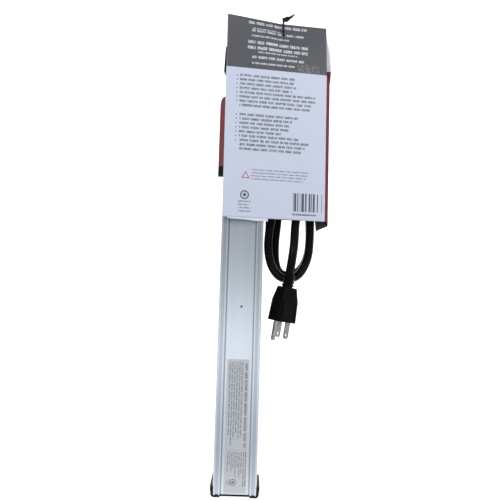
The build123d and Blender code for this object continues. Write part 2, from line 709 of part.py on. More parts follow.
# ------------------------------------------------------- card sleeve and tie
fold_x = -27.0
fold_y = card_back(fold_x)
left_x, left_y = BACK_LEFT
right_x, right_y = BACK_RIGHT
front_y = FRONT_LEFT[1]
crest_x, crest_y = HEADER_CREST
corner_x, corner_y = HEADER_CORNER
flap_inset = 0.5
CARD_PANELS = [
    # back sheet
    [(left_x, left_y, BACK_BOTTOM), (right_x, right_y, BACK_BOTTOM), (right_x, right_y, CARD_TOP),
     (left_x, left_y, CARD_TOP)],
    # back header: upright over the bar, leaning forward beside it
    [(left_x, left_y, CARD_TOP), (fold_x, fold_y, CARD_TOP), (fold_x, fold_y, HEADER_TOP),
     (left_x, left_y, HEADER_TOP)],
    [(fold_x, fold_y, CARD_TOP), (crest_x, crest_y, HEADER_TOP), (fold_x, fold_y, HEADER_TOP)],
    [(fold_x, fold_y, CARD_TOP), (corner_x, corner_y, HEADER_TOP), (crest_x, crest_y, HEADER_TOP)],
    [(fold_x, fold_y, CARD_TOP), (right_x, right_y, CARD_TOP), (corner_x, corner_y, HEADER_TOP)],
    # inner glue flap below the back sheet
    [(16.5, card_back(16.5) - flap_inset, 45.5), (-27.5, card_back(-27.5) - flap_inset, 45.5),
     (-27.5, card_back(-27.5) - flap_inset, 90), (16.5, card_back(16.5) - flap_inset, 90)],
    # right side
    [(right_x, right_y, 51), (FRONT_RIGHT[0], front_y, 44), (FRONT_RIGHT[0], front_y, CARD_TOP),
     (right_x, right_y, CARD_TOP)],
    # front sheet, with the band across the bar between the outlets and the breaker
    [(32, front_y, 104), (32, front_y, BAND_TOP), (22, front_y, BAND_TOP), (14, front_y, 164),
     (-27, front_y, 164), (-33, front_y, CARD_TOP), (-99, front_y, CARD_TOP), (-99, front_y, 44),
     (-90, front_y, 44), (-85.5, front_y, 41.6), (-84, front_y, 54), (-43.5, front_y, 54),
     (-43.5, front_y, 40), (-26, front_y, 40), (-26, front_y, 104)],
    # front header, sloping back towards the hang hole
    [(-33, front_y, CARD_TOP), (-99, front_y, CARD_TOP), (-91, -17.2, 270), (-37, -17.2, 270)],
    # left side of the band
    [(32, front_y, 104), (32, front_y, BAND_TOP), (left_x, left_y, BAND_TOP), (left_x, left_y, 93.5)],
]
with BuildPart() as card_sleeve:
    for corners in CARD_PANELS:
        extrude(Face(Wire.make_polygon(corners)), amount=CARD_THICK / 2, both=True)
    with BuildSketch(Plane.XZ.offset(20)):
        with Locations(HANG_HOLE):
            Circle(HANG_HOLE_RADIUS)
    extrude(amount=-30, mode=Mode.SUBTRACT)
save(card_sleeve.part, "card_sleeve")

TIE_ROUTE = [
    (-53, -13, 291.2),
    (-46, -11, 290.5),
    (-40.5, -8, 286.2),
    (-39.2, -4.8, 277),
    (-40, -4.4, 267),
    (-40.2, -9, 262.2),
    (-40.2, -13.2, 267),
    (-39.6, -14.2, 278),
    (-39.4, -11.5, 284.5),
]
with BuildPart() as card_tie:
    add(round_rod(TIE_ROUTE, 1.0)[0])
    with Locations((-39.6, -9.8, 286)):
        Sphere(2.3)
save(card_tie.part, "card_tie")
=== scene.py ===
"""Dresses the surge protected power bar: finishes, folded cord, printed card sleeve, studio."""

import logging
from dataclasses import dataclass, field
from enum import Enum

import bpy
import numpy as np
from mathutils import Euler, Matrix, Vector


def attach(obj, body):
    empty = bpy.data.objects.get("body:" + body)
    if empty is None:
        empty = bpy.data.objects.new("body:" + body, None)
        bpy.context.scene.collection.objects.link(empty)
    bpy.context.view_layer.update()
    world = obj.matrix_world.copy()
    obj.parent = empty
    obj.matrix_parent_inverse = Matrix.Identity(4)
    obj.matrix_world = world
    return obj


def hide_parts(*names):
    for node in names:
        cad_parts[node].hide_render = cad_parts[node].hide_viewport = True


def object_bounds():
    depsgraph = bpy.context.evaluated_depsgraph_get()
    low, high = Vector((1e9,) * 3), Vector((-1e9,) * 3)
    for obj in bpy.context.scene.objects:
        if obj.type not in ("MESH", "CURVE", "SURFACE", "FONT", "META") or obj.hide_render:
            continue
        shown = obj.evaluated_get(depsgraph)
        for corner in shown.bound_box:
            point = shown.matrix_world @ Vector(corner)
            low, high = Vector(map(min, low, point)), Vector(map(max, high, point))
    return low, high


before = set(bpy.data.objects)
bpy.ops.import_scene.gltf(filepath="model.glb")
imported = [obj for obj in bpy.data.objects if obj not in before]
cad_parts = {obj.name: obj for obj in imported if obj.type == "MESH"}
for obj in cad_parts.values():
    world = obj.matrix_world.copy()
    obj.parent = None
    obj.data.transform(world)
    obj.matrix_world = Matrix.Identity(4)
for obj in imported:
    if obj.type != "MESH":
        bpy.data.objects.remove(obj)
CAD_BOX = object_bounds()
LOG = logging.getLogger("power_bar")
MM = 0.001
BAR = "bar"
Colour = tuple[float, float, float]


# ---------------------------------------------------------------- node trees
class Graph:
    """A short way to write a shader node tree."""

    def __init__(self, tree: bpy.types.NodeTree) -> None:
        """Keeps the tree that the other methods add to."""
        self.tree = tree

    def add(self, kind: str, inputs: dict | None = None, **settings) -> bpy.types.Node:
        """Adds a node.

        Args:
            kind: the node's type, without the ShaderNode prefix.
            inputs: socket name or index to a socket to link from, or to a plain value.
            settings: the node's own properties.

        Returns:
            The new node.
        """
        node = self.tree.nodes.new("ShaderNode" + kind)
        for key, value in settings.items():
            setattr(node, key, value)
        for key, value in (inputs or {}).items():
            self.put(node.inputs[key], value)
        return node

    def put(self, socket: bpy.types.NodeSocket, value) -> None:
        """Links an output to the socket, or sets the socket's own value."""
        if isinstance(value, bpy.types.NodeSocket):
            self.tree.links.new(value, socket)
        elif socket.type == "RGBA" and len(value) == 3:
            socket.default_value = (*value, 1.0)
        else:
            socket.default_value = value

    def calc(self, operation: str, *values) -> bpy.types.NodeSocket:
        """One Math node on sockets or numbers; returns its output."""
        clamped = operation.endswith("!")
        node = self.add("Math", operation=operation.rstrip("!"), use_clamp=clamped)
        for socket, value in zip(node.inputs, values):
            self.put(socket, value)
        return node.outputs[0]

    def both(self, *masks) -> bpy.types.NodeSocket:
        """The product of several masks."""
        result = masks[0]
        for mask in masks[1:]:
            result = self.calc("MULTIPLY", result, mask)
        return result

    def between(self, value, low: float, high: float) -> bpy.types.NodeSocket:
        """1 where low < value < high, else 0."""
        above = self.calc("GREATER_THAN", value, low)
        return self.both(above, self.calc("LESS_THAN", value, high))

    def blend(self, factor, under, over) -> bpy.types.NodeSocket:
        """The colour under, covered by over where factor is 1."""
        node = self.add("Mix", data_type="RGBA")
        self.put(node.inputs["Factor"], factor)
        self.put(node.inputs[6], under)
        self.put(node.inputs[7], over)
        return node.outputs[2]

    def spread(self, value, low: float, high: float) -> bpy.types.NodeSocket:
        """Maps a 0 to 1 value onto low to high."""
        return self.calc("MULTIPLY_ADD", value, high - low, low)

    def distance(self, values, centre: tuple[float, float]) -> bpy.types.NodeSocket:
        """How far a pair of values is from a centre."""
        squares = [self.calc("POWER", self.calc("SUBTRACT", value, middle), 2.0)
                   for value, middle in zip(values, centre)]
        return self.calc("SQRT", self.calc("ADD", *squares))

    def group(self, tree: bpy.types.NodeTree, **inputs) -> bpy.types.Node:
        """Places a shared effect with its own values."""
        node = self.tree.nodes.new("ShaderNodeGroup")
        node.node_tree = tree
        for key, value in inputs.items():
            self.put(node.inputs[key.replace("_", " ")], value)
        return node


def new_effect(name: str, inputs: dict[str, float | tuple], outputs: list[str]) -> tuple[Graph, dict, dict]:
    """Starts a shared effect group.

    Args:
        name: the group's name.
        inputs: input name to its default, a number or a vector of three.
        outputs: names of the value outputs.

    Returns:
        The graph, the group's inputs by name, and its output sockets by name.
    """
    tree = bpy.data.node_groups.new(name, "ShaderNodeTree")
    for key, value in inputs.items():
        vector = isinstance(value, tuple)
        socket = tree.interface.new_socket(
            key, in_out="INPUT", socket_type="NodeSocketVector" if vector else "NodeSocketFloat"
        )
        socket.default_value = value
    for key in outputs:
        tree.interface.new_socket(key, in_out="OUTPUT", socket_type="NodeSocketFloat")
    entry = tree.nodes.new("NodeGroupInput")
    leave = tree.nodes.new("NodeGroupOutput")
    return Graph(tree), dict(entry.outputs.items()), dict(leave.inputs.items())


def grain_effect() -> bpy.types.NodeTree:
    """Fine surface grain over a slow change of tone, both from noise in object space."""
    graph, given, out = new_effect("surface_grain", {"Vector": (0.0, 0.0, 0.0), "Fine": 2500.0, "Slow": 40.0},
                                   ["Grain", "Tone"])
    fine = graph.add("TexNoise", {"Vector": given["Vector"], "Scale": given["Fine"], "Detail": 3.0})
    slow = graph.add("TexNoise", {"Vector": given["Vector"], "Scale": given["Slow"], "Detail": 4.0})
    graph.put(out["Grain"], fine.outputs[0])
    graph.put(out["Tone"], slow.outputs[0])
    return graph.tree


def die_line_effect() -> bpy.types.NodeTree:
    """Streaks that run along Z, as a die or a roll leaves them: noise stretched along Z."""
    inputs = {"Vector": (0.0, 0.0, 0.0), "Across": 900.0}
    graph, given, out = new_effect("die_lines", inputs, ["Line", "Band"])
    narrow = graph.calc("DIVIDE", 2.0, given["Across"])
    streaks = []
    for share, detail in ((1.0, 4.0), (0.12, 2.0)):
        stretch = graph.add("CombineXYZ", {0: 1.0, 1: 1.0, 2: narrow})
        along = graph.add("VectorMath", {0: given["Vector"], 1: stretch.outputs[0]}, operation="MULTIPLY")
        scale = graph.calc("MULTIPLY", given["Across"], share)
        noise = graph.add("TexNoise", {"Vector": along.outputs[0], "Scale": scale, "Detail": detail})
        streaks.append(noise.outputs[0])
    graph.put(out["Line"], streaks[0])
    graph.put(out["Band"], streaks[1])
    return graph.tree


def print_rows_effect() -> bpy.types.NodeTree:
    """Rows of print with no letters in it.

    The row number is the distance below Top over Pitch. A row inks its first Cap of height, from Left
    to Right less a ragged share of Rag. Gaps between words and strokes are the cell edges of two
    one-dimensional Voronoi patterns, shifted from row to row, and a noise as fine as a stroke breaks them.
    """
    names = {"Along": 0.0, "Up": 0.0, "Left": 0.0, "Right": 10.0, "Rag": 0.0, "Top": 0.0,
             "Pitch": 4.0, "Rows": 1.0, "Cap": 2.0, "Word": 9.0, "Seed": 0.0}
    graph, given, out = new_effect("print_rows", names, ["Ink"])
    below = graph.calc("DIVIDE", graph.calc("SUBTRACT", given["Top"], given["Up"]), given["Pitch"])
    row = graph.calc("FLOOR", below)
    into = graph.calc("MULTIPLY", graph.calc("SUBTRACT", below, row), given["Pitch"])
    in_row = graph.calc("LESS_THAN", into, given["Cap"])
    in_block = graph.both(graph.calc("GREATER_THAN", below, 0.0), graph.calc("LESS_THAN", row, given["Rows"]))
    number = graph.calc("ADD", row, given["Seed"])
    chance = graph.add("TexWhiteNoise", {"W": number}, noise_dimensions="1D").outputs["Value"]
    end = graph.calc("SUBTRACT", given["Right"], graph.calc("MULTIPLY", chance, given["Rag"]))
    in_line = graph.both(graph.calc("GREATER_THAN", given["Along"], given["Left"]),
                         graph.calc("LESS_THAN", given["Along"], end))
    shifted = graph.calc("MULTIPLY_ADD", number, 37.7, given["Along"])
    word_place = graph.calc("DIVIDE", shifted, given["Word"])
    words = graph.add("TexVoronoi", {"W": word_place, "Scale": 1.0}, voronoi_dimensions="1D",
                      feature="DISTANCE_TO_EDGE").outputs["Distance"]
    stroke_place = graph.calc("DIVIDE", shifted, graph.calc("MULTIPLY", given["Cap"], 0.62))
    strokes = graph.add("TexVoronoi", {"W": stroke_place, "Scale": 1.0}, voronoi_dimensions="1D",
                        feature="DISTANCE_TO_EDGE").outputs["Distance"]
    word = graph.calc("GREATER_THAN", words, 0.07)
    stroke = graph.calc("MULTIPLY_ADD!", graph.calc("GREATER_THAN", strokes, 0.13), 0.62, 0.38)
    spot = graph.add("CombineXYZ", {0: graph.calc("DIVIDE", shifted, given["Cap"]),
                                    1: graph.calc("DIVIDE", into, given["Cap"]), 2: number})
    curl = graph.add("TexNoise", {"Vector": spot.outputs[0], "Scale": 2.6, "Detail": 1.0}).outputs[0]
    curl = graph.calc("MULTIPLY_ADD!", graph.calc("GREATER_THAN", curl, 0.44), 0.7, 0.3)
    graph.put(out["Ink"], graph.both(in_row, in_block, in_line, word, stroke, curl))
    return graph.tree


@dataclass
class Effects:
    """The effect groups that the finishes share."""

    grain: bpy.types.NodeTree = field(default_factory=grain_effect)
    die_lines: bpy.types.NodeTree = field(default_factory=die_line_effect)
    print_rows: bpy.types.NodeTree = field(default_factory=print_rows_effect)


# ------------------------------------------------------------------ finishes
def new_material(name: str) -> tuple[bpy.types.Material, Graph, bpy.types.Node]:
    """Starts a material.

    Returns:
        The material, its graph and its Principled shader.
    """
    material = bpy.data.materials.new(name)
    material.use_nodes = True
    graph = Graph(material.node_tree)
    return material, graph, material.node_tree.nodes["Principled BSDF"]


def print_blocks(graph: Graph, effects: Effects, along, up, blocks: list[tuple]) -> bpy.types.NodeSocket:
    """Adds up blocks of print.

    Args:
        graph: the material's graph.
        effects: the shared effect groups.
        along: distance along the rows, in millimetres.
        up: height across the rows, in millimetres.
        blocks: left, right, rag, top, pitch, rows, cap height, word length and seed of each.

    Returns:
        The ink of all the blocks.
    """
    names = ("Left", "Right", "Rag", "Top", "Pitch", "Rows", "Cap", "Word", "Seed")
    ink = None
    for block in blocks:
        inputs = dict(zip(names, block))
        part = graph.group(effects.print_rows, Along=along, Up=up, **inputs).outputs["Ink"]
        ink = part if ink is None else graph.calc("MAXIMUM", ink, part)
    return ink


@dataclass(frozen=True)
class Moulded:
    """A plastic, rubber, lacquer or plated finish: one colour with grain, tone and soft relief."""

    name: str
    colour: Colour
    roughness: tuple[float, float] = (0.4, 0.55)
    metallic: float = 0.0
    tone: float = 0.12
    fine: float = 2500.0
    slow: float = 60.0
    relief: float = 0.08
    depth: float = 0.00005
    coat: float = 0.0
    transmission: float = 0.0
    specular: float = 0.5

    def build(self, effects: Effects) -> bpy.types.Material:
        """Makes the material.

        Args:
            effects: the shared effect groups.

        Returns:
            The finished material.
        """
        material, graph, shader = new_material(self.name)
        place = graph.add("TexCoord").outputs["Object"]
        grain = graph.group(effects.grain, Vector=place, Fine=self.fine, Slow=self.slow)
        pale = tuple(min(1.0, c * (1 + self.tone) + 0.012 * self.tone) for c in self.colour)
        dark = tuple(c * (1 - self.tone) for c in self.colour)
        graph.put(shader.inputs["Base Color"], graph.blend(grain.outputs["Tone"], dark, pale))
        graph.put(shader.inputs["Roughness"], graph.spread(grain.outputs["Grain"], *self.roughness))
        fixed = {"Metallic": self.metallic, "Coat Weight": self.coat,
                 "Transmission Weight": self.transmission, "Specular IOR Level": self.specular}
        for socket, value in fixed.items():
            shader.inputs[socket].default_value = value
        bump = graph.add("Bump", {"Height": grain.outputs["Grain"], "Strength": self.relief,
                                  "Distance": self.depth})
        graph.put(shader.inputs["Normal"], bump.outputs[0])
        return material


@dataclass(frozen=True)
class DrawnAluminium:
    """Satin anodised aluminium with lines along its length, and an ink dot if it has a place.

    The shade strips are painted shade along the length. They darken the grooves, the outer edges and the
    panel's edge gutter where shadow falls, each from a low to a high distance off the middle in
    millimetres, with how dark it is.
    """

    name: str
    colour: Colour = (0.66, 0.71, 0.775)
    roughness: tuple[float, float] = (0.28, 0.38)
    painted_shade_strips: tuple[tuple[float, float, float], ...] = ()
    ink_dot: tuple[float, float] | None = None
    ink_radius: float = 1.25
    ink: Colour = (0.02, 0.05, 0.42)
    shade: Colour = (0.05, 0.055, 0.075)
    soft_edge: float = 0.35

    def build(self, effects: Effects) -> bpy.types.Material:
        """Makes the material; the arguments and result are as in Moulded.build."""
        material, graph, shader = new_material(self.name)
        place = graph.add("TexCoord").outputs["Object"]
        lines = graph.group(effects.die_lines, Vector=place)
        grain = graph.group(effects.grain, Vector=place, Fine=1800.0, Slow=16.0)
        dark = tuple(c * 0.90 for c in self.colour)
        pale = tuple(min(1.0, c * 1.06) for c in self.colour)
        colour = graph.blend(lines.outputs["Band"], dark, pale)
        colour = graph.blend(graph.spread(grain.outputs["Tone"], 0.0, 0.25), colour, dark)
        metallic = 1.0
        xyz = graph.add("SeparateXYZ", {0: place})
        sideways = graph.calc("ABSOLUTE", xyz.outputs[0])
        # painted shade: inside each strip the colour darkens towards the shade colour by the strip's depth
        for low, high, depth in self.painted_shade_strips:
            inside = graph.both(*(
                graph.calc("MULTIPLY!", graph.calc("SUBTRACT", *pair), 1 / (self.soft_edge * MM))
                for pair in ((sideways, low * MM), (high * MM, sideways))))
            colour = graph.blend(graph.calc("MULTIPLY", inside, depth), colour, self.shade)
        if self.ink_dot:
            away = graph.distance((xyz.outputs[0], xyz.outputs[2]), tuple(spot * MM for spot in self.ink_dot))
            inked = graph.calc("LESS_THAN", away, self.ink_radius * MM)
            colour = graph.blend(inked, colour, self.ink)
            metallic = graph.calc("SUBTRACT", 1.0, inked)
        graph.put(shader.inputs["Base Color"], colour)
        graph.put(shader.inputs["Metallic"], metallic)
        graph.put(shader.inputs["Roughness"], graph.spread(lines.outputs["Line"], *self.roughness))
        bump = graph.add("Bump", {"Height": lines.outputs["Line"], "Strength": 0.10, "Distance": 0.00004})
        graph.put(shader.inputs["Normal"], bump.outputs[0])
        return material


@dataclass(frozen=True)
class RatingFoil:
    """The silver label: rows of wordless print that run along the bar, a divider and a plain ring."""

    name: str = "rating_foil"
    foil: Colour = (0.60, 0.62, 0.645)
    ink: Colour = (0.14, 0.14, 0.15)

    def build(self, effects: Effects) -> bpy.types.Material:
        """Makes the material; the arguments and result are as in Moulded.build."""
        material, graph, shader = new_material(self.name)
        place = graph.add("TexCoord").outputs["Object"]
        xyz = graph.add("SeparateXYZ", {0: place})
        across = graph.calc("DIVIDE", xyz.outputs[0], MM)
        along = graph.calc("DIVIDE", xyz.outputs[2], -MM)
        ink = print_blocks(graph, effects, along, across, [
            (107.0, 194.0, 14.0, 9.4, 2.62, 6.0, 1.4, 8.0, 3.0),
            (107.0, 195.0, 0.0, -7.6, 9.0, 1.0, 2.5, 12.0, 9.0),
            (199.6, 226.0, 12.0, 9.2, 2.05, 8.0, 1.15, 6.0, 14.0),
            (199.6, 237.0, 3.0, -7.6, 2.2, 2.0, 1.3, 6.0, 24.0),
        ])
        divider = graph.calc("MULTIPLY", graph.between(along, 197.4, 197.8), 0.4)
        ring_away = graph.distance((across, along), (2.4, 231.0))
        ring = graph.between(ring_away, 2.6, 3.5)
        core = graph.calc("LESS_THAN", ring_away, 1.6)
        pale_away = graph.distance((across, along), (7.1, 231.1))
        pale_ring = graph.calc("MULTIPLY", graph.calc("LESS_THAN", pale_away, 2.9), 0.3)
        marks = graph.calc("MAXIMUM", graph.calc("MAXIMUM", divider, ring),
                           graph.calc("MAXIMUM", core, pale_ring))
        ink = graph.calc("MAXIMUM", ink, marks)
        grain = graph.group(effects.grain, Vector=place, Fine=1500.0, Slow=50.0)
        paper = graph.blend(grain.outputs["Tone"], tuple(c * 0.9 for c in self.foil), self.foil)
        graph.put(shader.inputs["Base Color"], graph.blend(graph.calc("MULTIPLY", ink, 0.8), paper, self.ink))
        shader.inputs["Metallic"].default_value = 0.35
        graph.put(shader.inputs["Roughness"], graph.spread(grain.outputs["Grain"], 0.42, 0.55))
        return material


@dataclass(frozen=True)
class PrintedBack:
    """The sleeve's back: dark header over a bluish white sheet, with rows of wordless print.

    The sheet's UV map is in decimetres: u from its left edge and v above the bar's middle.
    """

    name: str = "printed_back"
    header: Colour = (0.083, 0.085, 0.095)
    sheet: Colour = (0.555, 0.60, 0.715)
    light_ink: Colour = (0.62, 0.63, 0.67)
    dark_ink: Colour = (0.045, 0.045, 0.06)
    red_ink: Colour = (0.42, 0.03, 0.04)
    fold: float = 217.0

    def stripes(self, graph: Graph, up, top: float, pitch: float, count: int,
                cap: float) -> bpy.types.NodeSocket:
        """Level stripes cap high, count of them, a pitch apart below top."""
        below = graph.calc("DIVIDE", graph.calc("SUBTRACT", top, up), pitch)
        return graph.both(graph.calc("LESS_THAN", graph.calc("FRACT", below), cap / pitch),
                          graph.between(below, 0.0, float(count)))

    def triangle(self, graph: Graph, along, up) -> bpy.types.NodeSocket:
        """A plain triangle outline: outside a small triangle and inside a larger one.

        A point is in a triangle where it is over the base line and under both slanted sides.
        """
        masks = []
        sideways = graph.calc("ABSOLUTE", graph.calc("SUBTRACT", along, 24.4))
        for size in (1.0, 0.68):
            above = graph.calc("GREATER_THAN", up, 94.6 - 2.6 * size)
            slant = graph.calc("MULTIPLY_ADD", sideways, 1.75, graph.calc("SUBTRACT", up, 94.6))
            masks.append(graph.both(above, graph.calc("LESS_THAN", slant, 5.4 * size)))
        return graph.calc("SUBTRACT!", *masks)

    def barcode(self, graph: Graph, along, up) -> bpy.types.NodeSocket:
        """Upright bars of chance widths, from white noise on steps of 0.6 mm."""
        step = graph.calc("FLOOR", graph.calc("MULTIPLY", along, 1.7))
        chance = graph.add("TexWhiteNoise", {"W": step}, noise_dimensions="1D").outputs["Value"]
        bars = graph.calc("GREATER_THAN", chance, 0.47)
        return graph.both(bars, graph.between(along, 78.0, 111.5), graph.between(up, 58.0, 78.5))

    def build(self, effects: Effects) -> bpy.types.Material:
        """Makes the material; the arguments and result are as in Moulded.build."""
        material, graph, shader = new_material(self.name)
        uv = graph.add("UVMap", uv_map="sheet")
        split = graph.add("SeparateXYZ", {0: uv.outputs[0]})
        along = graph.calc("MULTIPLY", split.outputs[0], 100.0)
        up = graph.calc("MULTIPLY", split.outputs[1], 100.0)
        fold = self.fold
        header_ink = print_blocks(graph, effects, along, up, [
            (23.0, 91.0, 0.0, fold + 57.3, 9.0, 1.0, 3.6, 11.0, 1.0),
            (26.8, 60.0, 0.0, fold + 49.2, 4.0, 1.0, 1.5, 6.0, 2.0),
            (26.8, 88.0, 0.0, fold + 46.9, 4.0, 1.0, 2.6, 12.0, 4.0),
            (26.8, 70.0, 0.0, fold + 40.2, 4.0, 1.0, 2.1, 7.0, 5.0),
            (22.7, 92.3, 0.0, fold + 33.0, 6.6, 2.0, 3.6, 13.0, 6.0),
            (34.0, 80.0, 0.0, fold + 20.6, 4.0, 1.0, 1.7, 7.0, 8.0),
            (27.7, 87.7, 0.0, fold + 15.0, 4.0, 1.0, 2.9, 12.0, 9.0),
            (27.7, 78.0, 0.0, fold + 7.6, 4.0, 1.0, 2.1, 8.0, 10.0),
        ])
        text = print_blocks(graph, effects, along, up, [
            (15.0, 84.0, 22.0, 209.6, 4.9, 4.0, 2.7, 10.0, 21.0),
            (15.0, 104.5, 14.0, 190.0, 4.9, 4.0, 2.7, 10.0, 27.0),
            (15.6, 85.0, 24.0, 164.7, 4.85, 6.0, 2.7, 10.5, 33.0),
            (16.4, 97.0, 12.0, 135.6, 4.85, 3.0, 2.7, 10.0, 41.0),
            (30.4, 96.0, 9.0, 102.4, 3.4, 4.0, 1.2, 8.0, 51.0),
            (17.2, 31.5, 3.0, 66.9, 3.6, 4.0, 1.4, 6.0, 61.0),
            (77.5, 105.0, 0.0, 55.6, 4.0, 1.0, 2.0, 40.0, 71.0),
        ])
        lines = [self.stripes(graph, up, top, pitch, 7, 1.3) for top, pitch in ((208.6, 4.9), (163.7, 4.85))]
        bullets = graph.both(graph.between(along, 11.5, 12.8), graph.calc("MAXIMUM", *lines))
        seal_away = graph.distance((along, up), (23.9, 73.5))
        core = graph.calc("LESS_THAN", seal_away, 1.9)
        seal = graph.calc("MAXIMUM", graph.between(seal_away, 3.5, 4.9), core)
        dark = graph.calc("MAXIMUM", text, graph.calc("MAXIMUM", bullets, seal))
        dark = graph.calc("MAXIMUM", dark, self.barcode(graph, along, up))
        place = graph.add("TexCoord").outputs["Object"]
        grain = graph.group(effects.grain, Vector=place, Fine=1400.0, Slow=22.0)
        pale = tuple(c * 1.06 for c in self.sheet)
        sheet = graph.blend(grain.outputs["Tone"], self.sheet, pale)
        sheet = graph.blend(graph.calc("MULTIPLY", dark, 0.92), sheet, self.dark_ink)
        sheet = graph.blend(self.triangle(graph, along, up), sheet, self.red_ink)
        # Painted highlight: pale specks of light ink on the header near the fold stand for glare on its worn
        # ink
        fleck = graph.add("TexNoise", {"Vector": place, "Scale": 900.0, "Detail": 1.0}).outputs[0]
        worn_ink_glare_specks = graph.both(graph.calc("GREATER_THAN", fleck, 0.63), graph.between(along, 80.0, 106.0),
                          graph.between(up, fold, fold + 11.0))
        header = graph.blend(grain.outputs["Tone"], tuple(c * 0.9 for c in self.header), self.header)
        header = graph.blend(graph.calc("MAXIMUM", header_ink, graph.calc("MULTIPLY", worn_ink_glare_specks, 0.6)), header,
                             self.light_ink)
        upper = graph.calc("GREATER_THAN", up, fold)
        graph.put(shader.inputs["Base Color"], graph.blend(upper, sheet, header))
        graph.put(shader.inputs["Roughness"], graph.spread(grain.outputs["Grain"], 0.38, 0.52))
        shader.inputs["Coat Weight"].default_value = 0.25
        shader.inputs["Coat Roughness"].default_value = 0.25
        bump = graph.add("Bump", {"Height": grain.outputs["Tone"], "Strength": 0.25, "Distance": 0.0006})
        graph.put(shader.inputs["Normal"], bump.outputs[0])
        return material


@dataclass(frozen=True)
class PrintedWrap:
    """The sleeve's sides and front: muted red with a black foot, a pale panel and wordless rows."""

    name: str = "printed_wrap"
    red: Colour = (0.195, 0.055, 0.064)
    black: Colour = (0.014, 0.014, 0.015)
    pale: Colour = (0.78, 0.79, 0.80)

    def build(self, effects: Effects) -> bpy.types.Material:
        """Makes the material; the arguments and result are as in Moulded.build."""
        material, graph, shader = new_material(self.name)
        place = graph.add("TexCoord").outputs["Object"]
        xyz = graph.add("SeparateXYZ", {0: place})
        x, y, z = (graph.calc("DIVIDE", socket, MM) for socket in xyz.outputs)
        grain = graph.group(effects.grain, Vector=place, Fine=1400.0, Slow=25.0)
        colour = graph.blend(grain.outputs["Tone"], tuple(c * 0.85 for c in self.red), self.red)
        on_front = graph.calc("LESS_THAN", y, -42.0)
        panel = graph.both(on_front, graph.between(x, -92.0, -40.0), graph.between(z, 66.0, 150.0))
        colour = graph.blend(panel, colour, self.pale)
        rows = print_blocks(graph, effects, x, z, [
            (-88.0, -44.0, 10.0, 143.0, 8.0, 8.0, 3.6, 12.0, 5.0),
            (-92.0, -42.0, 4.0, 206.0, 14.0, 3.0, 8.0, 24.0, 2.0),
        ])
        rows = graph.both(rows, on_front)
        ink = graph.blend(graph.calc("GREATER_THAN", z, 152.0), self.black, self.pale)
        colour = graph.blend(rows, colour, ink)
        on_band = graph.calc("GREATER_THAN", x, 18.0)
        rise = graph.calc("MULTIPLY_ADD", y, -0.22, 106.0)
        foot = graph.both(on_band, graph.calc("LESS_THAN", z, rise))
        colour = graph.blend(foot, colour, self.black)
        depth = graph.calc("MULTIPLY_ADD!", y, -1 / 34, -9 / 34)
        crease = graph.calc("MULTIPLY_ADD", depth, 21.0, 217.5)
        colour = graph.blend(graph.calc("GREATER_THAN", z, crease), colour, self.pale)
        graph.put(shader.inputs["Base Color"], colour)
        graph.put(shader.inputs["Roughness"], graph.spread(grain.outputs["Grain"], 0.5, 0.64))
        shader.inputs["Specular IOR Level"].default_value = 0.0
        return material


